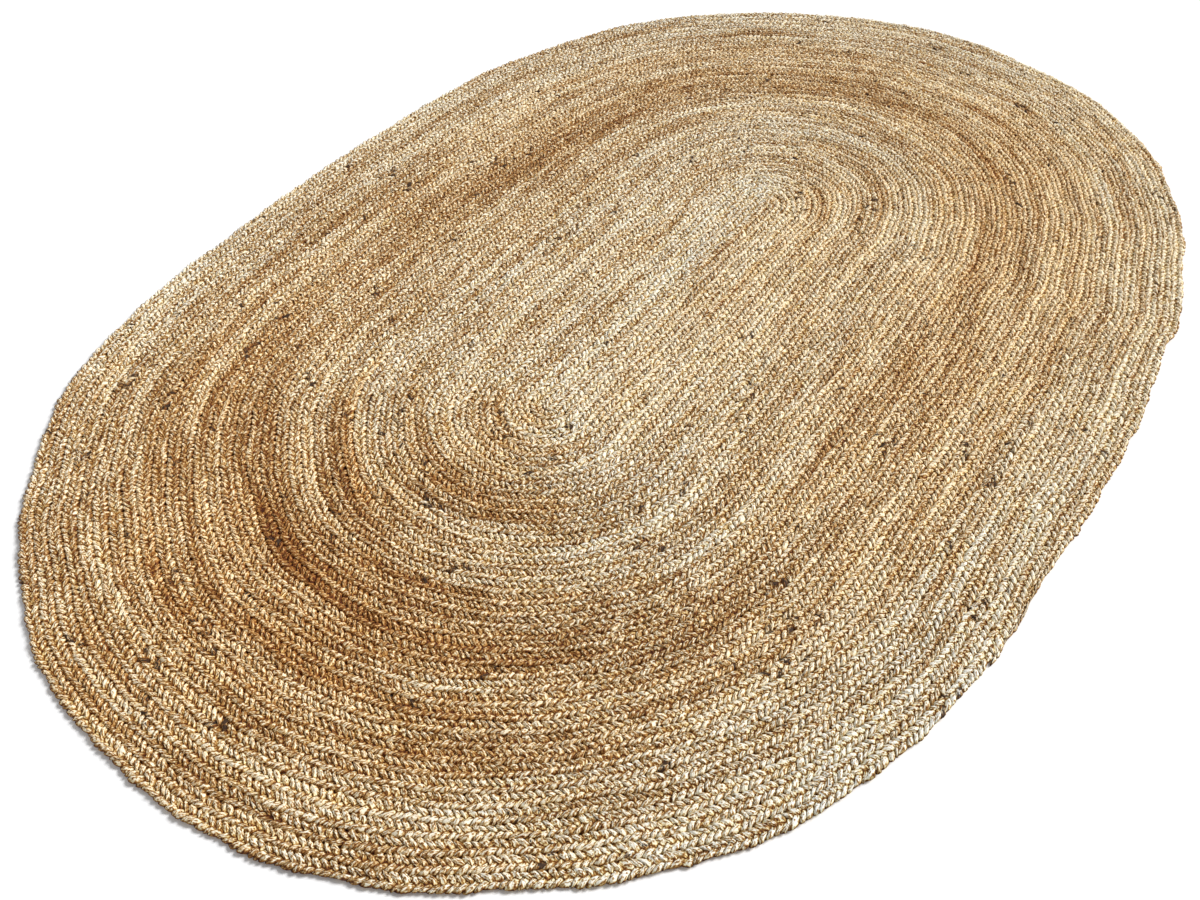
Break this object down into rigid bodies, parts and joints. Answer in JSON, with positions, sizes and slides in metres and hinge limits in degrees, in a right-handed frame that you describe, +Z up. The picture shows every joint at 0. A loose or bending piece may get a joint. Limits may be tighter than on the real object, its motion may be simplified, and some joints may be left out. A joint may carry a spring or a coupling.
{
  "type": "braided jute rug",
  "caption": "Flat oval rug made of one flat jute braid wound in a long spiral, its rows sewn edge to edge; it lies loose on a floor.",
  "frame": {"origin": "under the middle of the rug, on its flat underside", "axes": "+X along the long axis and the first straight run of the braid, +Y along the short axis, +Z up through the thickness"},
  "size_m": [2.3672, 1.6918, 0.011],
  "materials": {
    "jute": "matt natural jute in straw, gold and pale grey, fuzzy, with dark bark flecks"
  },
  "bodies": {
    "root": {"braided_rug": "jute"}
  },
  "joints": []
}
